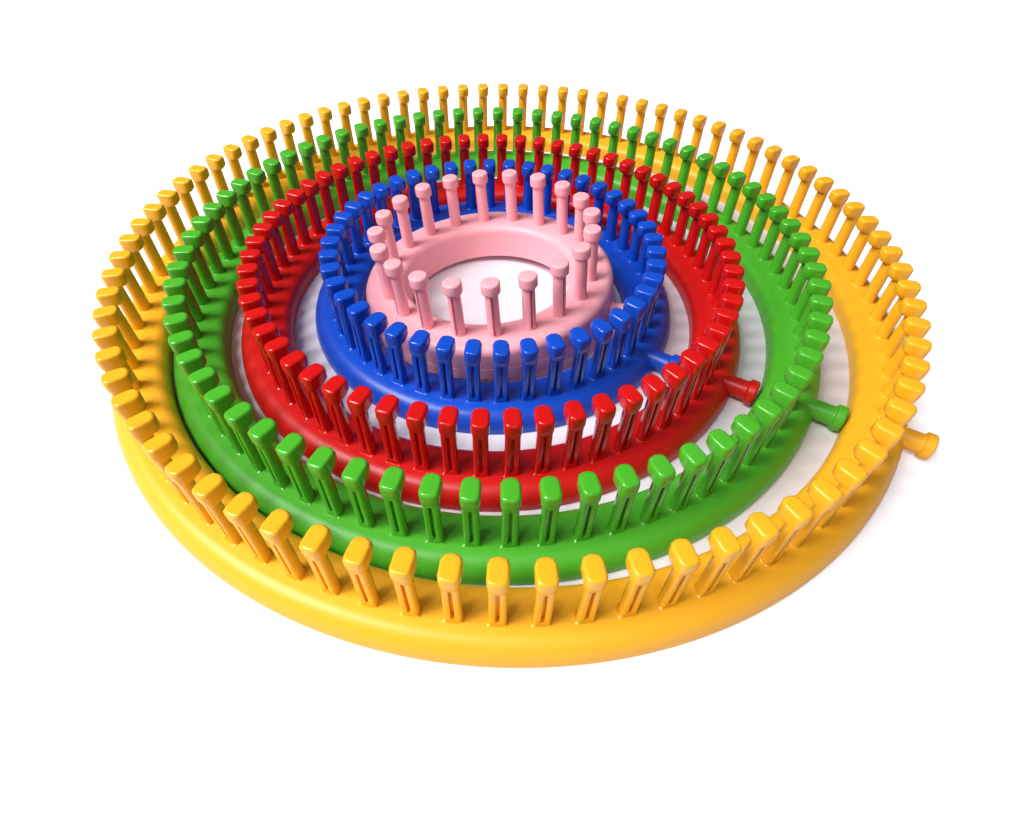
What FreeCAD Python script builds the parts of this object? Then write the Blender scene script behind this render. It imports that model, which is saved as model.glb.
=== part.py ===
import FreeCAD, Part
import math
import os
import Sketcher

# Nest of five round knitting looms: yellow, green, red, blue and pink, one inside the other.
# Each loom is a moulded ring, a circle of pegs that the yarn is looped over and one anchor peg
# that sticks out of the rim and holds the yarn's end. The taller pink ring is in two mouldings.
# The pink loom lies tilted: one side is on the table and its anchor peg rests on the blue ring.
# Millimetres, Z up.
# The origin is the centre of the yellow ring, on the table.

os.makedirs("parts", exist_ok=True)
doc = FreeCAD.newDocument("round_knitting_looms")
vector = FreeCAD.Vector

# Driving dimensions
SIZES = [
    ("yellow_outer_radius", 145.0, "outer wall of the largest ring"),
    ("green_gap", 7.3, "yellow inner wall to green outer wall, if centred"),
    ("red_gap", 7.6, "green inner wall to red outer wall, if centred"),
    ("blue_gap", 6.7, "red inner wall to blue outer wall, if centred"),
    ("pink_gap", 4.5, "blue inner wall to pink outer wall, if centred"),
    ("nest_clearance", 0.4, "room left where one ring leans on the next"),
    ("red_shift", 4.6, "how far the red loom lies off the green one's centre"),
    ("blue_shift", 3.6, "how far the blue loom lies off the red one's centre"),
    ("ring_width", 18.3, "inner wall to outer wall"),
    ("ring_height", 7.2, "table to the flat top the pegs stand on"),
    ("shoulder_width", 4.0, "rounding of the outer top edge, across the ring"),
    ("pink_ring_width", 15.1, "inner wall to outer wall of the pink ring"),
    ("pink_ring_height", 13.2, "base to top of the pink ring"),
    ("pink_seam_height", 5.1, "base to the seam between the pink mouldings"),
    ("pink_shoulder_width", 2.5, "rounding of the pink outer top edge"),
    ("peg_inset", 10.25, "outer wall to the circle through the peg heads"),
    ("pink_peg_inset", 8.2, "the same on the pink ring"),
    ("peg_height", 22.4, "ring top to peg top"),
    ("blue_peg_height", 21.0, "the same on the blue ring"),
    ("pink_peg_height", 19.8, "the same on the pink ring"),
    ("shaft_inside", 0.6, "shaft's inner face, inside the head circle"),
    ("shaft_outside", 3.0, "shaft's outer face, outside the head circle"),
    ("peg_width", 4.8, "head and shaft, across the peg"),
    ("shaft_back_width", 3.0, "shaft across its narrower inner face"),
    ("groove_depth", 1.5, "groove up the shaft's outer face"),
    ("head_inside", 3.8, "head's inner end, inside the head circle"),
    ("head_outside", 3.4, "head's outer end, outside the head circle"),
    ("head_taper", 0.6, "how far the head's inner end slopes in below"),
    ("head_height", 5.0, "head from its underside to its top"),
    ("pink_shaft_depth", 4.2, "pink shaft, inner face to outer face"),
    ("pink_head_radius", 3.05, "drum head of a pink peg"),
    ("pink_head_height", 4.2, "drum head of a pink peg"),
    ("anchor_length", 7.0, "yellow anchor peg, rim to tip"),
    ("anchor_tip_clearance", 0.6, "anchor tip to the next ring's inner wall"),
    ("anchor_shaft_radius", 3.3, "round shaft of the anchor peg"),
    ("anchor_knob_radius", 4.3, "knob at the anchor peg's tip"),
    ("anchor_knob_length", 3.2, "knob at the anchor peg's tip"),
    ("anchor_axis_height", 4.4, "table to the anchor peg's axis"),
    ("pink_anchor_length", 8.5, "pink anchor peg, rim to tip"),
    ("pink_anchor_shaft_radius", 2.25, "round shaft of the pink anchor peg"),
    ("pink_anchor_knob_radius", 3.15, "knob at the pink anchor peg's tip"),
    ("pink_anchor_knob_length", 2.7, "knob at the pink anchor peg's tip"),
    ("pink_anchor_axis_height", 2.8, "pink base to its anchor peg's axis"),
    ("pink_anchor_rest", 0.3, "room under the pink anchor's knob, where it lies on blue"),
    ("yellow_peg_count", 82, "pegs"),
    ("green_peg_count", 72, "pegs"),
    ("red_peg_count", 62, "pegs"),
    ("blue_peg_count", 44, "pegs"),
    ("pink_peg_count", 20, "pegs"),
]

sheet = doc.addObject("Spreadsheet::Sheet", "sizes")
for row, (alias, number, note) in enumerate(SIZES, start=1):
    sheet.set(f"A{row}", alias)
    sheet.set(f"B{row}", str(number))
    sheet.set(f"C{row}", note)
    sheet.setAlias(f"B{row}", alias)
doc.recompute()


def size(alias):
    """Expression that reads one driving dimension."""
    return f"sizes.{alias}"


def value(expression):
    """Number that an expression gives with the sheet as it stands."""
    return float(sheet.evalExpression(expression))


# Directions in degrees about Z from +X. "lean" is where a loom has slid to inside the next
# larger one, "anchor" is where its anchor peg points and "first_peg" is its first peg.
LOOMS = ["yellow", "green", "red", "blue", "pink"]
LEAN = {"green": 226.0, "red": 232.7, "blue": 90.0, "pink": 256.0}
ANCHOR = {"yellow": -30.3, "green": -28.6, "red": -27.9, "blue": -31.5, "pink": -14.5}
FIRST_PEG = {"yellow": 146.68, "green": -141.86, "red": -136.28, "blue": -150.91, "pink": 204.1}
PINK_TILT_DIRECTION = -24.4

ring_width = {name: size("ring_width") for name in LOOMS}
ring_width["pink"] = size("pink_ring_width")
ring_height = {name: size("ring_height") for name in LOOMS}
ring_height["pink"] = size("pink_ring_height")
shoulder = {name: size("shoulder_width") for name in LOOMS}
shoulder["pink"] = size("pink_shoulder_width")
peg_inset = {name: size("peg_inset") for name in LOOMS}
peg_inset["pink"] = size("pink_peg_inset")
peg_height = {name: size("peg_height") for name in LOOMS}
peg_height["blue"] = size("blue_peg_height")
peg_height["pink"] = size("pink_peg_height")
# The shoulder of a low ring runs right down to the table.
shoulder_drop = dict(ring_height)
shoulder_drop["pink"] = shoulder["pink"]
anchor_shaft = {name: size("anchor_shaft_radius") for name in LOOMS}
anchor_shaft["pink"] = size("pink_anchor_shaft_radius")
knob_radius = {name: size("anchor_knob_radius") for name in LOOMS}
knob_radius["pink"] = size("pink_anchor_knob_radius")
knob_length = {name: size("anchor_knob_length") for name in LOOMS}
knob_length["pink"] = size("pink_anchor_knob_length")
axis_height = {name: size("anchor_axis_height") for name in LOOMS}
axis_height["pink"] = size("pink_anchor_axis_height")

# Walls of the nest, from the outside in: each ring follows from the one round it.
outer_radius = {"yellow": size("yellow_outer_radius")}
inner_radius = {}
for around, name in zip([None] + LOOMS, LOOMS):
    if around:
        outer_radius[name] = f"({inner_radius[around]} - {size(name + '_gap')})"
    inner_radius[name] = f"({outer_radius[name]} - {ring_width[name]})"

# How far each loom lies off the centre of the one round it. Green and pink lean on it.
shift = {
    "green": f"({size('green_gap')} - {size('nest_clearance')})",
    "red": size("red_shift"),
    "blue": size("blue_shift"),
    "pink": f"({size('pink_gap')} - {size('nest_clearance')})",
}


def anchor_reach(name, around):
    """Anchor tip's radius that just clears the inner wall of the ring around it."""
    angle = f"{LEAN[name] - ANCHOR[name]} deg"
    across = f"({shift[name]} * sin({angle}))"
    along = f"({shift[name]} * cos({angle}))"
    wall = f"sqrt({inner_radius[around]} ^ 2 - {across} ^ 2)"
    return f"({wall} - {along} - {size('anchor_tip_clearance')})"


anchor_tip = {
    "yellow": f"({outer_radius['yellow']} + {size('anchor_length')})",
    "green": anchor_reach("green", "yellow"),
    "red": anchor_reach("red", "green"),
    "blue": anchor_reach("blue", "red"),
    "pink": f"({outer_radius['pink']} + {size('pink_anchor_length')})",
}


# Sketches: a closed outline from corners whose coordinates are expressions.
def draw_outline(body, name, role, corners):
    sketch = body.newObject("Sketcher::SketchObject", name)
    plane = next(f for f in body.Origin.OriginFeatures if f.Role == role)
    sketch.AttachmentSupport = [(plane, "")]
    sketch.MapMode = "FlatFace"
    points = [vector(value(x), value(y), 0) for x, y in corners]
    count = len(points)
    for i, start in enumerate(points):
        sketch.addGeometry(Part.LineSegment(start, points[(i + 1) % count]))
    for i, (x, y) in enumerate(corners):
        sketch.addConstraint(Sketcher.Constraint("Coincident", (i - 1) % count, 2, i, 1))
        for kind, expression, number in (("DistanceX", x, points[i].x), ("DistanceY", y, points[i].y)):
            constraint = sketch.addConstraint(Sketcher.Constraint(kind, -1, 1, i, 1, number))
            sketch.setExpression(f"Constraints[{constraint}]", expression)
    sketch.Visibility = False
    return sketch


DRAWN_AXIS = 10.0


def add_axis(sketch, height):
    """Construction line along X at a height, to turn an outline about."""
    number = value(height)
    start = vector(0, number, 0)
    line = sketch.addGeometry(Part.LineSegment(start, start + vector(DRAWN_AXIS, 0, 0)), True)
    sketch.addConstraint(Sketcher.Constraint("Horizontal", line))
    sketch.addConstraint(Sketcher.Constraint("PointOnObject", line, 1, -2))
    sketch.addConstraint(Sketcher.Constraint("DistanceX", line, 1, line, 2, DRAWN_AXIS))
    constraint = sketch.addConstraint(Sketcher.Constraint("DistanceY", -1, 1, line, 1, number))
    sketch.setExpression(f"Constraints[{constraint}]", height)


def revolve(body, name, sketch, axis):
    feature = body.newObject("PartDesign::Revolution", name)
    feature.Profile = sketch
    feature.ReferenceAxis = (sketch, [axis])
    feature.Angle = 360
    return feature


def pad(body, name, sketch, length, both_ways=False):
    feature = body.newObject("PartDesign::Pad", name)
    feature.Profile = sketch
    feature.setExpression("Length", length)
    feature.Midplane = both_ways
    return feature


# Rings: a flat top, a broad outer shoulder and an upright inner wall.
def make_ring(name, foot="0"):
    """The shoulder follows a quarter ellipse in two slopes, from the top down to its foot."""
    body = doc.addObject("PartDesign::Body", f"{name}_ring")
    inner, outer, top = inner_radius[name], outer_radius[name], ring_height[name]
    across, down = shoulder[name], shoulder_drop[name]
    corners = [(inner, foot), (outer, foot)]
    if value(f"{top} - {down} - {foot}") > 0:
        corners.append((outer, f"{top} - {down}"))
    corners += [
        (f"{outer} - {across} * (1 - cos(45 deg))", f"{top} - {down} * (1 - sin(45 deg))"),
        (f"{outer} - {across}", top),
        (inner, top),
    ]
    sketch = draw_outline(body, f"{name}_ring_outline", "XZ_Plane", corners)
    revolve(body, f"{name}_ring_turned", sketch, "V_Axis")
    body.Placement = placements[name]
    return body


def make_pink_base():
    """Lower moulding that closes the pink ring from below."""
    body = doc.addObject("PartDesign::Body", "pink_base")
    inner, outer, seam = inner_radius["pink"], outer_radius["pink"], size("pink_seam_height")
    corners = [(inner, "0"), (outer, "0"), (outer, seam), (inner, seam)]
    sketch = draw_outline(body, "pink_base_outline", "XZ_Plane", corners)
    revolve(body, "pink_base_turned", sketch, "V_Axis")
    body.Placement = placements["pink"]
    return body


# Anchor pegs: turned with a knob, then cut so that the root fits the ring's outer wall.
def make_anchor_peg(name, moulding):
    """The root of a stout anchor peg tapers in, so that it runs out level with the ring's top."""
    body = doc.addObject("PartDesign::Body", f"{name}_anchor_turning")
    axis, tip = axis_height[name], anchor_tip[name]
    root = f"{outer_radius[name]} - {shoulder[name]}"
    knob = f"{tip} - {knob_length[name]}"
    shaft_top = f"{axis} + {anchor_shaft[name]}"
    knob_top = f"{axis} + {knob_radius[name]}"
    shaft = [(knob, shaft_top)]
    if value(f"{shaft_top} - {ring_height[name]}") > 0:
        shaft += [(f"{root} + {shoulder[name]} * cos(45 deg)", shaft_top), (root, ring_height[name])]
    else:
        shaft.append((root, shaft_top))
    corners = [(root, axis), (tip, axis), (tip, knob_top), (knob, knob_top)] + shaft
    sketch = draw_outline(body, f"{name}_anchor_outline", "XZ_Plane", corners)
    add_axis(sketch, axis)
    revolve(body, f"{name}_anchor_turned", sketch, "Axis0")
    body.Placement = placements[name]
    peg = doc.addObject("Part::Cut", f"{name}_anchor_peg")
    peg.Base = body
    peg.Tool = moulding
    return peg


# Pegs: one master of each kind stands at the origin, its grooved face towards +X.
def make_shaft(label, back, front, length):
    """Shaft with a narrower inner face and a groove up its outer one."""
    body = doc.addObject("PartDesign::Body", label)
    half, back_half = f"{size('peg_width')} / 2", f"{size('shaft_back_width')} / 2"
    groove = f"{front} - {size('groove_depth')}"
    section = [(back, f"-{back_half}"), (front, f"-{half}"), (groove, "0"), (front, half), (back, back_half)]
    sketch = draw_outline(body, f"{label}_section", "XY_Plane", section)
    pad(body, f"{label}_shaft", sketch, length)
    doc.recompute()
    return body


def make_peg(label, height):
    """Flat-topped peg with a block head that hooks over both faces of the shaft."""
    under_head = f"({height} - {size('head_height')})"
    body = make_shaft(label, f"-{size('shaft_inside')}", size("shaft_outside"), under_head)
    inside = f"-{size('head_inside')}"
    side = [
        (f"{inside} + {size('head_taper')}", under_head),
        (size("shaft_outside"), under_head),
        (size("head_outside"), height),
        (inside, height),
    ]
    sketch = draw_outline(body, f"{label}_head_side", "XZ_Plane", side)
    pad(body, f"{label}_head", sketch, size("peg_width"), both_ways=True)
    return body


DRUM_SIDES = 8


def make_pink_peg():
    """Upright peg with a many-sided drum for a head."""
    height = size("pink_peg_height")
    under_head = f"({height} - {size('pink_head_height')})"
    half = f"{size('pink_shaft_depth')} / 2"
    body = make_shaft("pink_master", f"-{half}", half, under_head)
    radius = size("pink_head_radius")
    turns = [360 * (i + 0.5) / DRUM_SIDES for i in range(DRUM_SIDES)]
    drum = [(f"{radius} * cos({turn} deg)", f"{radius} * sin({turn} deg)") for turn in turns]
    sketch = draw_outline(body, "pink_drum_outline", "XY_Plane", drum)
    sketch.setExpression("AttachmentOffset.Base.z", under_head)
    pad(body, "pink_drum", sketch, size("pink_head_height"))
    return body


def peg_places(name):
    """Placement of every peg on its ring, clockwise from the first."""
    radius = value(f"{outer_radius[name]} - {peg_inset[name]}")
    count = round(value(size(f"{name}_peg_count")))
    foot = vector(radius, 0, value(ring_height[name]))
    standing = FreeCAD.Placement(foot, FreeCAD.Rotation())
    places = []
    for i in range(count):
        turn = turned(FIRST_PEG[name] - ANCHOR[name] - 360.0 * i / count)
        places.append(FreeCAD.Placement(vector(0, 0, 0), turn).multiply(standing))
    return places


def make_peg_group(name, master):
    """All the pegs of a large ring in one sub-part, each a solid of its own."""
    solids = []
    for place in peg_places(name):
        solid = master.Shape.copy()
        solid.Placement = place
        solids.append(solid)
    feature = doc.addObject("Part::Feature", f"{name}_pegs")
    feature.Shape = Part.makeCompound(solids)
    feature.Placement = placements[name]
    return feature


def make_pink_pegs(master):
    """The few pegs of the pink ring, each a sub-part of its own."""
    pegs = []
    for number, place in enumerate(peg_places("pink"), start=1):
        feature = doc.addObject("Part::Feature", f"pink_peg_{number:02d}")
        feature.Shape = master.Shape.copy()
        feature.Placement = placements["pink"].multiply(place)
        pegs.append(feature)
    return pegs


# Places of the looms. Each loom's own X axis points along its anchor peg.
def polar(length, direction):
    angle = math.radians(direction)
    return vector(length * math.cos(angle), length * math.sin(angle), 0)


def turned(direction):
    return FreeCAD.Rotation(vector(0, 0, 1), direction)


centre = {"yellow": vector(0, 0, 0)}
for around, name in zip(LOOMS, LOOMS[1:]):
    centre[name] = centre[around] + polar(value(shift[name]), LEAN[name])


def pink_tilt():
    """Angle at which the pink rim is on the table and its anchor's knob lies on the blue ring."""
    rim = value(outer_radius["pink"])
    knob = value(f"{anchor_tip['pink']} - {knob_length['pink']}")
    along = knob * math.cos(math.radians(ANCHOR["pink"] - PINK_TILT_DIRECTION))
    knob_bottom = value(f"{axis_height['pink']} - {knob_radius['pink']}")
    rise = value(f"{size('ring_height')} + {size('pink_anchor_rest')}")
    reach = rim + along
    return math.asin(rise / math.hypot(reach, knob_bottom)) - math.atan2(knob_bottom, reach)


placements = {}
for name in LOOMS[:-1]:
    placements[name] = FreeCAD.Placement(centre[name], turned(ANCHOR[name]))
tilt = pink_tilt()
tilt_axis = polar(1.0, PINK_TILT_DIRECTION - 90.0)
tilt_rotation = FreeCAD.Rotation(tilt_axis, math.degrees(tilt))
pink_foot = centre["pink"] + vector(0, 0, value(outer_radius["pink"]) * math.sin(tilt))
placements["pink"] = FreeCAD.Placement(pink_foot, tilt_rotation.multiply(turned(ANCHOR["pink"])))

full_peg = make_peg("full_master", peg_height["yellow"])
masters = {"yellow": full_peg, "green": full_peg, "red": full_peg}
masters["blue"] = make_peg("blue_master", peg_height["blue"])
pink_master = make_pink_peg()
doc.recompute()

sub_parts = []
for name in LOOMS[:-1]:
    ring = make_ring(name)
    sub_parts += [ring, make_peg_group(name, masters[name]), make_anchor_peg(name, ring)]
pink_ring = make_ring("pink", size("pink_seam_height"))
pink_base = make_pink_base()
sub_parts += [pink_ring, pink_base, make_anchor_peg("pink", pink_base)]
sub_parts += make_pink_pegs(pink_master)
doc.recompute()

for item in doc.Objects:
    if "Invalid" in item.State or "Error" in item.State:
        raise RuntimeError(f"{item.Label} failed: {item.State}")
for item in sub_parts:
    if item.Shape.isNull() or not item.Shape.isValid():
        raise RuntimeError(f"{item.Label} has no valid shape")
for item in sub_parts:
    item.Shape.exportStep(f"parts/{item.Label}.step")
    print(item.Label, len(item.Shape.Solids), round(item.Shape.Volume, 1))
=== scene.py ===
import math

import bmesh
import bpy
from mathutils import Matrix, Vector


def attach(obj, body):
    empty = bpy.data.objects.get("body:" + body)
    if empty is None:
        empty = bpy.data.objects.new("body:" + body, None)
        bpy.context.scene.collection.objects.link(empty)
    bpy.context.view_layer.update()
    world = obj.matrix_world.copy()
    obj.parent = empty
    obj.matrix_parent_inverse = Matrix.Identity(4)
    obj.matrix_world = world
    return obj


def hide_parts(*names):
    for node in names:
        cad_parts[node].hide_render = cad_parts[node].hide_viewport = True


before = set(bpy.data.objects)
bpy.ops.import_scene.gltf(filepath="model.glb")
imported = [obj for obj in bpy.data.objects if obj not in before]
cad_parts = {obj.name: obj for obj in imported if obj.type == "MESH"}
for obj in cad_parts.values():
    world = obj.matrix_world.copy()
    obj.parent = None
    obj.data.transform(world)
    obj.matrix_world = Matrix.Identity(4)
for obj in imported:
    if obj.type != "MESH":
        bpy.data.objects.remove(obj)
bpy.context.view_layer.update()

# Ring mouldings. Each loom is built on a ring of injection-moulded polystyrene with a satin skin,
# flat on top, with a broad rounded shoulder outside and a softer edge round the bore. The pink
# ring is taller and is the upper of two mouldings, which meet at a fine seam.
MM = 0.001
LOOMS = ["yellow", "green", "red", "blue", "pink"]
RING_STEPS = 240
# Roundings in mm: the shoulder's width and drop, the bore edge, and the inner and outer foot.
LOW_RING = {"across": 5.7, "down": 6.8, "inner": 3.4, "heel": 0.4, "toe": 0.3}
TALL_RING = {"across": 2.8, "down": 3.0, "inner": 2.9, "heel": 0.02, "toe": 0.35}
# Edges are sharp past this angle, corners this near each other are one, and faces whose normal
# points down by this much are a ring's underside.
SHARP_EDGE = math.radians(60)
SAME_CORNER = 0.0001
UNDERSIDE = -0.9


def node_points(node):
    return [vertex.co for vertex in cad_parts[node].data.vertices]


def loom_place(under, anchor):
    """Frame of a loom: Z along the ring's axis, X to its anchor peg, origin under its middle."""
    down = Vector()
    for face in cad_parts[under].data.polygons:
        if face.normal.z < UNDERSIDE:
            down += face.normal * face.area
    up = -down.normalized()
    points = node_points(under)
    tips = node_points(anchor)
    out = sum(tips, Vector()) / len(tips) - sum(points, Vector()) / len(points)
    along = (out - up * out.dot(up)).normalized()
    turn = Matrix((along, up.cross(along), up)).transposed().to_4x4()
    local = [turn.inverted() @ point for point in points]
    middle = [(max(p[i] for p in local) + min(p[i] for p in local)) / 2 for i in (0, 1)]
    return turn @ Matrix.Translation((*middle, min(p.z for p in local)))


place = {name: loom_place(f"{name}_ring", f"{name}_anchor_peg") for name in LOOMS[:-1]}
place["pink"] = loom_place("pink_base", "pink_anchor_peg")


def loom_points(loom, node):
    """Corners of a CAD node in its loom's frame, in metres."""
    return [place[loom].inverted() @ point for point in node_points(node)]


def ring_sizes(loom, node):
    """Inner radius, outer radius, foot and top of a ring moulding in its loom's frame, in mm."""
    local = [point / MM for point in loom_points(loom, node)]
    radii = [math.hypot(point.x, point.y) for point in local]
    heights = [point.z for point in local]
    return min(radii), max(radii), min(heights), max(heights)


def arc(x, z, across, up, start, end, steps):
    """Points of an ellipse about (x, z) from one angle in degrees to another."""
    points = []
    for i in range(steps + 1):
        angle = math.radians(start + (end - start) * i / steps)
        points.append((x + across * math.cos(angle), z + up * math.sin(angle)))
    return points


def ring_outline(inner, outer, foot, top, form):
    """Section of a ring moulding: bottom, outer wall, shoulder, flat top and bore edge."""
    heel, toe, bore = form["heel"], form["toe"], form["inner"]
    across, down = form["across"], form["down"]
    points = arc(inner + heel, foot + heel, heel, heel, 180, 270, steps=2)
    points += arc(outer - toe, foot + toe, toe, toe, 270, 360, steps=2)
    points += arc(outer - across, top - down, across, down, 0, 90, steps=12)
    return points + arc(inner + bore, top - bore, bore, bore, 90, 180, steps=6)


def finished(name, shape, where):
    """Object at the origin whose mesh holds its place, smooth but for its sharp edges."""
    bmesh.ops.transform(shape, matrix=where, verts=shape.verts)
    for face in shape.faces:
        face.smooth = True
    for edge in shape.edges:
        edge.smooth = edge.calc_face_angle(0) < SHARP_EDGE
    mesh = bpy.data.meshes.new(name)
    shape.to_mesh(mesh)
    shape.free()
    piece = bpy.data.objects.new(name, mesh)
    bpy.context.scene.collection.objects.link(piece)
    even = piece.modifiers.new("even shading", "WEIGHTED_NORMAL")
    even.keep_sharp = True
    return piece


def turned_piece(name, outline, where, steps):
    """Closed outline of (radius, height) points in mm, turned about its Z axis."""
    shape = bmesh.new()
    corners = [shape.verts.new((x * MM, 0, z * MM)) for x, z in outline]
    sides = [shape.edges.new(pair) for pair in zip(corners, corners[1:])]
    if outline[0][0] > 0:
        sides.append(shape.edges.new((corners[-1], corners[0])))
    bmesh.ops.spin(shape, geom=corners + sides, axis=(0, 0, 1), cent=(0, 0, 0),
                   angle=math.tau, steps=steps, use_merge=True)
    bmesh.ops.remove_doubles(shape, verts=shape.verts, dist=SAME_CORNER * MM)
    bmesh.ops.recalc_face_normals(shape, faces=shape.faces)
    return finished(name, shape, where)


# The plastic has one strong colour all through, with faint flow clouds a few centimetres wide. Its
# skin is neither quite even nor quite flat, so highlights waver a little: both are drawn coarser
# than on a real moulding, so that they show. Rings and anchor pegs are satin, other pegs polished.
FLOW_MM = 30.0
GRAIN_MM = 2.2
SKIN_MM = 6.0
SKIN_DEPTH_MM = 0.1
SKIN_STRENGTH = 0.12
UNEVEN = 0.05
PLASTIC_IOR = 1.5
SHADES = {
    "yellow": ("#FFBC28", "#FEB422"),
    "green": ("#50B62C", "#4AAD28"),
    "red": ("#D81412", "#CC1110"),
    "blue": ("#1050CC", "#0E49C0"),
    "pink": ("#FFB5BE", "#FEADB7"),
}
SATIN = {"yellow": 0.42, "green": 0.42, "red": 0.38, "blue": 0.36, "pink": 0.45}
POLISH = {"yellow": 0.22, "green": 0.14, "red": 0.13, "blue": 0.13, "pink": 0.4}


def linear(colour):
    """Linear RGBA of an sRGB hex colour."""
    shares = [int(colour[i:i + 2], 16) / 255 for i in (1, 3, 5)]
    return (*[s / 12.92 if s <= 0.04045 else ((s + 0.055) / 1.055) ** 2.4 for s in shares], 1.0)


def add_node(tree, kind, settings=None, values=None, links=None):
    node = tree.nodes.new(kind)
    for key, setting in (settings or {}).items():
        setattr(node, key, setting)
    for key, number in (values or {}).items():
        node.inputs[key].default_value = number
    for key, socket in (links or {}).items():
        tree.links.new(socket, node.inputs[key])
    return node


def moulded_plastic(name, colour, cloud, roughness):
    material = bpy.data.materials.new(name)
    material.use_nodes = True
    tree = material.node_tree
    tree.nodes.clear()
    on_mesh = {"Vector": add_node(tree, "ShaderNodeTexCoord").outputs["Object"]}
    flow = add_node(tree, "ShaderNodeTexNoise",
                    values={"Scale": 1 / (FLOW_MM * MM), "Detail": 3.0}, links=on_mesh)
    tint = add_node(tree, "ShaderNodeMix", {"data_type": "RGBA"},
                    {"A": linear(colour), "B": linear(cloud)}, {"Factor": flow.outputs["Fac"]})
    grain = add_node(tree, "ShaderNodeTexNoise",
                     values={"Scale": 1 / (GRAIN_MM * MM), "Detail": 3.0}, links=on_mesh)
    sheen = add_node(tree, "ShaderNodeMapRange",
                     values={"To Min": roughness - UNEVEN, "To Max": roughness + UNEVEN},
                     links={"Value": grain.outputs["Fac"]})
    skin = add_node(tree, "ShaderNodeTexNoise",
                    values={"Scale": 1 / (SKIN_MM * MM), "Detail": 1.0}, links=on_mesh)
    waver = add_node(tree, "ShaderNodeBump",
                     values={"Strength": SKIN_STRENGTH, "Distance": SKIN_DEPTH_MM * MM},
                     links={"Height": skin.outputs["Fac"]})
    surface = add_node(tree, "ShaderNodeBsdfPrincipled", values={"IOR": PLASTIC_IOR},
                       links={"Base Color": tint.outputs["Result"],
                              "Roughness": sheen.outputs["Result"],
                              "Normal": waver.outputs["Normal"]})
    add_node(tree, "ShaderNodeOutputMaterial", links={"Surface": surface.outputs["BSDF"]})
    return material


satin = {}
polished = {}
for loom, (colour, cloud) in SHADES.items():
    satin[loom] = moulded_plastic(f"{loom} polystyrene, satin", colour, cloud, SATIN[loom])
    polished[loom] = moulded_plastic(f"{loom} polystyrene, polished", colour, cloud, POLISH[loom])


def fit_piece(piece, loom, plastic, node):
    """The piece takes its loom's plastic, rides on its loom and stands for this CAD node."""
    piece.data.materials.append(plastic[loom])
    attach(piece, f"{loom}_loom")
    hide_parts(node)


for loom in LOOMS:
    form = TALL_RING if loom == "pink" else LOW_RING
    outline = ring_outline(*ring_sizes(loom, f"{loom}_ring"), form)
    ring = turned_piece(f"{loom}_ring_moulding", outline, place[loom], RING_STEPS)
    fit_piece(ring, loom, satin, f"{loom}_ring")

# Lower pink moulding. It closes the tall pink ring from below, moulded in the same soft plastic
# and joined to the upper one face to face, so only a fine line shows where they meet.
LOWER_RING = {"across": 0.35, "down": 0.35, "inner": 0.02, "heel": 0.5, "toe": 0.8}
outline = ring_outline(*ring_sizes("pink", "pink_base"), LOWER_RING)
pink_base = turned_piece("pink_base_moulding", outline, place["pink"], RING_STEPS)
fit_piece(pink_base, "pink", satin, "pink_base")

# Pegs of the four low looms. Each is moulded in its ring's plastic and pressed into the ring: a
# small lip at the foot, a shaft rounded inside with a groove between two rails outside, and a
# long head that hooks inwards, so the yarn can be lifted over it.
PEG_COUNT = {"yellow": 82, "green": 72, "red": 62, "blue": 44}
# Each row is a level: height, inner end, outer end, half width, outer and inner corner.
# Heights run up from the ring's top, or down from the peg's top where they are not positive.
PEG_LEVELS = [
    (0.01, -1.0, 3.45, 2.65, 0.9, 1.9),
    (0.32, -0.6, 2.95, 2.2, 0.8, 1.8),
    (-5.3, -0.6, 2.9, 2.12, 0.8, 1.8),
    (-4.7, -2.6, 3.1, 2.3, 1.1, 1.8),
    (-3.5, -3.7, 3.4, 2.5, 1.5, 1.9),
    (-0.8, -3.8, 3.4, 2.5, 1.5, 1.9),
    (-0.25, -3.5, 3.1, 2.2, 1.35, 1.7),
    (0.0, -2.85, 2.5, 1.65, 1.05, 1.25),
]
# The shaft's inner face lies this far inside the circle that the pegs stand on.
SHAFT_INSIDE = 0.6
# The rails slope in by the bevel, and the groove behind them narrows by the draft on each side.
RAIL = 0.88
RAIL_BEVEL = 0.2
GROOVE = 1.5
DRAFT = 0.05
# Corners of a CAD peg that are this many mm from one of its ends lie in that end's face.
END_FACE = 0.1


def peg_outline(inner_end, outer_end, half, outer, inner):
    """Twelve points round a peg seen from above, counted from the grooved outer end."""
    left = arc(outer_end - outer, half - outer, outer, outer, 0, 90, steps=2)
    left += arc(inner_end + inner, half - inner, inner, inner, 90, 180, steps=2)
    right = [(x, -y) for x, y in reversed(left)]
    return right[-1:] + left + right[:-1]


def from_foot(height, peg_height):
    """Height of a level above the peg's foot."""
    return height if height > 0 else peg_height + height


def raised_shape(levels, rail, groove):
    """Closed shape through (height, outline) levels, with a groove let into the shaft's front.

    The shaft stands between the second outline and the third, and its front is its first side."""
    shape = bmesh.new()
    rings = [[shape.verts.new((x * MM, y * MM, height * MM)) for x, y in outline]
             for height, outline in levels]
    count = len(rings[0])
    for low, high in zip(rings, rings[1:]):
        for i in range(count):
            j = (i + 1) % count
            shape.faces.new((low[i], low[j], high[j], high[i]))
    shape.faces.new(reversed(rings[0]))
    shape.faces.new(rings[-1])
    shape.faces.ensure_lookup_table()
    shape.normal_update()
    front = shape.faces[count]
    for margin, sink in ((rail, RAIL_BEVEL), (DRAFT, groove)):
        bmesh.ops.inset_individual(shape, faces=[front], thickness=margin * MM,
                                   use_even_offset=True)
        bmesh.ops.translate(shape, verts=front.verts, vec=(-sink * MM, 0, 0))
    return shape


def peg_master(peg_height):
    levels = []
    for height, *form in PEG_LEVELS:
        levels.append((from_foot(height, peg_height), peg_outline(*form)))
    mesh = bpy.data.meshes.new("peg_master")
    shape = raised_shape(levels, RAIL, GROOVE)
    shape.to_mesh(mesh)
    shape.free()
    return mesh


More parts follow.
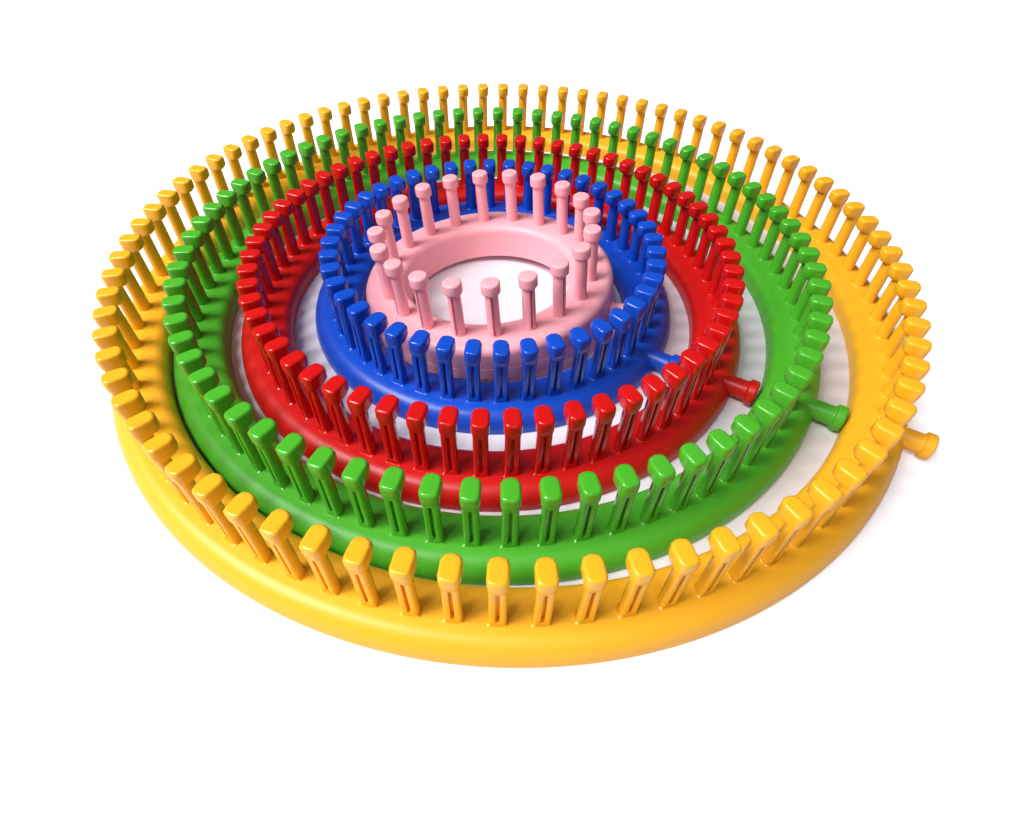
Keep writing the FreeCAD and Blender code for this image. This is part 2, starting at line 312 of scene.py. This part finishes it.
def peg_places(loom, node, count):
    """Place of every peg of a ring: on its circle, grooved side out, on the ring's top."""
    local = loom_points(loom, node)
    swing = [math.atan2(point.y, point.x) * count for point in local]
    first = math.atan2(sum(map(math.sin, swing)), sum(map(math.cos, swing))) / count
    foot = min(point.z for point in local)
    standing = [point for point in local if point.z - foot < END_FACE * MM]
    shaft_face = min(math.hypot(point.x, point.y) for point in standing)
    on_circle = Matrix.Translation((shaft_face + SHAFT_INSIDE * MM, 0, foot))
    return [place[loom] @ Matrix.Rotation(first + math.tau * i / count, 4, "Z") @ on_circle
            for i in range(count)]


for loom, count in PEG_COUNT.items():
    node = f"{loom}_pegs"
    heights = [point.z / MM for point in loom_points(loom, node)]
    master = peg_master(max(heights) - min(heights))
    shape = bmesh.new()
    for where in peg_places(loom, node, count):
        made = len(shape.verts)
        shape.from_mesh(master)
        bmesh.ops.transform(shape, matrix=where, verts=shape.verts[made:])
    pegs = finished(f"{loom}_peg_circle", shape, Matrix())
    fit_piece(pegs, loom, polished, node)

# Pegs of the pink loom, twenty pieces. Shorter pegs of the same pink plastic with a round drum
# for a head; each is moulded like the others and pressed into the tall ring by its foot.
PINK_COUNT = 20
PINK_SIDES = 16
PINK_RAIL = 0.02
PINK_GROOVE = 1.3
# Each row is a level: height and radius, with heights counted as on the other pegs.
PINK_LEVELS = [
    (0.01, 2.45),
    (0.3, 2.25),
    (-4.7, 2.15),
    (-4.2, 2.5),
    (-3.75, 2.95),
    (-3.2, 3.05),
    (-0.9, 3.05),
    (-0.35, 2.9),
    (0.0, 2.35),
]


def round_outline(radius):
    """Points round a pink peg, turned by half a side so that one side faces out."""
    half_side = 180 / PINK_SIDES
    return arc(0, 0, radius, radius, -half_side, 360 - half_side, steps=PINK_SIDES)[:-1]


for number in range(1, PINK_COUNT + 1):
    node = f"pink_peg_{number:02d}"
    local = loom_points("pink", node)
    top = max(point.z for point in local)
    foot = min(point.z for point in local)
    drum = [point for point in local if top - point.z < END_FACE * MM]
    middle = sum(drum, Vector()) / len(drum)
    levels = [(from_foot(height, (top - foot) / MM), round_outline(radius))
              for height, radius in PINK_LEVELS]
    shape = raised_shape(levels, PINK_RAIL, PINK_GROOVE)
    where = Matrix.Translation((middle.x, middle.y, foot))
    facing = Matrix.Rotation(math.atan2(middle.y, middle.x), 4, "Z")
    peg = finished(f"pink_peg_moulding_{number:02d}", shape, place["pink"] @ where @ facing)
    fit_piece(peg, "pink", polished, node)

# Anchor pegs. A stout round peg is moulded in the ring's satin plastic and set in its rim, low
# down, with its root in the shoulder. The yarn's end is wound round its shaft, and the knob at its
# tip keeps it on. Its shape is turned about its own axis.
ANCHOR_STEPS = 48
SHAFT_RADIUS = {"yellow": 3.3, "green": 3.3, "red": 3.3, "blue": 3.3, "pink": 2.25}
KNOB_LENGTH = {"yellow": 3.2, "green": 3.2, "red": 3.2, "blue": 3.2, "pink": 2.7}
# The root is thinner by the taper where it starts, and full this far inside the rim.
ROOT_TAPER = 0.5
ROOT_INSIDE = 1.2
# Flare from the shaft to the knob: how far short of the knob, and how much wider than the shaft.
FLARE = [(0.8, 0.0), (0.3, 0.15), (0.0, 0.4)]
# The knob's edge is rounded at the back, from this angle in degrees, and its tip is domed.
KNOB_EDGE = 0.5
KNOB_BACK = -70
TIP_ACROSS = 1.1
TIP_DEPTH = 1.0


def anchor_outline(root, rim, tip, shaft, knob_radius, knob):
    """Half section of an anchor peg, from the middle of its root to the middle of its tip."""
    points = [(0, root), (shaft - ROOT_TAPER, root), (shaft, rim - ROOT_INSIDE)]
    points += [(shaft + wider, knob - short) for short, wider in FLARE]
    points += arc(knob_radius - KNOB_EDGE, knob + KNOB_EDGE, KNOB_EDGE, KNOB_EDGE, KNOB_BACK, 0,
                  steps=3)
    points += arc(knob_radius - TIP_ACROSS, tip - TIP_DEPTH, TIP_ACROSS, TIP_DEPTH, 0, 90,
                  steps=6)
    return points + [(0, tip)]


for loom in LOOMS:
    node = f"{loom}_anchor_peg"
    local = [point / MM for point in loom_points(loom, node)]
    tip = max(point.x for point in local)
    root = min(point.x for point in local)
    rim = ring_sizes(loom, f"{loom}_ring")[1]
    end = [point.z for point in local if tip - point.x < END_FACE]
    axis = (max(end) + min(end)) / 2
    knob_radius = (max(end) - min(end)) / 2
    outline = anchor_outline(root, rim, tip, SHAFT_RADIUS[loom], knob_radius,
                             tip - KNOB_LENGTH[loom])
    lie = Matrix.Translation((0, 0, axis * MM)) @ Matrix.Rotation(math.pi / 2, 4, "Y")
    anchor = turned_piece(f"{loom}_anchor_moulding", outline, place[loom] @ lie, ANCHOR_STEPS)
    fit_piece(anchor, loom, satin, node)

# Table, light and camera, with sizes in metres. A plain white table stands under broad soft lamps
# before a backdrop that is white to the camera and dim to everything else. Outside the looms the
# table fades to white, by a glow that only the camera sees.
TABLE_HALF = 6.0
FADE_START = 0.13
FADE_END = 0.16
FADE_LIGHT = (0.6, 0.6, 0.6, 1)
TABLE_MOTTLE_MM = 8
TABLE_SHADES = ("#E9E4EA", "#E3DEE6")
BACKDROP_LIGHT = 0.11
# Each row is a lamp: name, place and side in metres, and power in watts. All face the nest.
LAMPS = [
    ("left_window", (-1.1, -0.38, 1.38), 0.9, 43.0),
    ("front_lamp", (-0.38, -0.66, 1.4), 0.16, 4.5),
    ("front_fill", (0.2, -1.3, 1.24), 0.6, 2.5),
]
# The camera stands as it stood for the photograph: close, wide and looking steeply down.
IMAGE_WIDTH = 1024
FOCAL_PIXELS = 581.0
SENSOR_WIDTH_MM = 36.0
NEAREST_SEEN = 0.01
PITCH = math.radians(49.16)
ROLL = math.radians(1.91)
CAMERA_PLACE = (0.0009, -0.1906, 0.1433)

floor_mesh = bpy.data.meshes.new("table_top")
shape = bmesh.new()
bmesh.ops.create_grid(shape, x_segments=1, y_segments=1, size=TABLE_HALF)
shape.to_mesh(floor_mesh)
shape.free()
table = bpy.data.objects.new("table_top", floor_mesh)
bpy.context.scene.collection.objects.link(table)

material = bpy.data.materials.new("white table laminate")
material.use_nodes = True
tree = material.node_tree
tree.nodes.clear()
on_mesh = {"Vector": add_node(tree, "ShaderNodeTexCoord").outputs["Object"]}
far = add_node(tree, "ShaderNodeVectorMath", {"operation": "LENGTH"}, links=on_mesh)
outside = add_node(tree, "ShaderNodeMapRange",
                   values={"From Min": FADE_START, "From Max": FADE_END},
                   links={"Value": far.outputs["Value"]})
rays = add_node(tree, "ShaderNodeLightPath")
seen = add_node(tree, "ShaderNodeMath", {"operation": "MULTIPLY"},
                links={0: rays.outputs["Is Camera Ray"], 1: outside.outputs["Result"]})
glow = add_node(tree, "ShaderNodeEmission", values={"Color": FADE_LIGHT},
                links={"Strength": seen.outputs["Value"]})
mottle = add_node(tree, "ShaderNodeTexNoise",
                  values={"Scale": 1 / (TABLE_MOTTLE_MM * MM), "Detail": 4.0}, links=on_mesh)
tint = add_node(tree, "ShaderNodeMix", {"data_type": "RGBA"},
                {"A": linear(TABLE_SHADES[0]), "B": linear(TABLE_SHADES[1])},
                {"Factor": mottle.outputs["Fac"]})
white = add_node(tree, "ShaderNodeBsdfDiffuse", links={"Color": tint.outputs["Result"]})
both = add_node(tree, "ShaderNodeAddShader",
                links={0: white.outputs["BSDF"], 1: glow.outputs["Emission"]})
add_node(tree, "ShaderNodeOutputMaterial", links={"Surface": both.outputs["Shader"]})
table.data.materials.append(material)

world = bpy.data.worlds.new("studio")
world.use_nodes = True
tree = world.node_tree
tree.nodes.clear()
rays = add_node(tree, "ShaderNodeLightPath")
strength = add_node(tree, "ShaderNodeMapRange", values={"To Min": BACKDROP_LIGHT, "To Max": 1.0},
                    links={"Value": rays.outputs["Is Camera Ray"]})
backdrop = add_node(tree, "ShaderNodeBackground", values={"Color": (1, 1, 1, 1)},
                    links={"Strength": strength.outputs["Result"]})
add_node(tree, "ShaderNodeOutputWorld", links={"Surface": backdrop.outputs["Background"]})
bpy.context.scene.world = world

for name, where, side, power in LAMPS:
    lamp = bpy.data.lights.new(name, "AREA")
    lamp.shape = "SQUARE"
    lamp.size = side
    lamp.energy = power
    lamp_object = bpy.data.objects.new(name, lamp)
    lamp_object.location = where
    lamp_object.rotation_mode = "QUATERNION"
    lamp_object.rotation_quaternion = (-Vector(where)).to_track_quat("-Z", "Y")
    bpy.context.scene.collection.objects.link(lamp_object)

camera_data = bpy.data.cameras.new("camera")
camera_data.sensor_width = SENSOR_WIDTH_MM
camera_data.lens = SENSOR_WIDTH_MM * FOCAL_PIXELS / IMAGE_WIDTH
camera_data.clip_start = NEAREST_SEEN
camera = bpy.data.objects.new("camera", camera_data)
bpy.context.scene.collection.objects.link(camera)
look = Matrix.Rotation(math.pi / 2 - PITCH, 4, "X") @ Matrix.Rotation(ROLL, 4, "Z")
camera.matrix_world = Matrix.Translation(CAMERA_PLACE) @ look
bpy.context.scene.camera = camera

bpy.context.scene.view_settings.view_transform = "Standard"
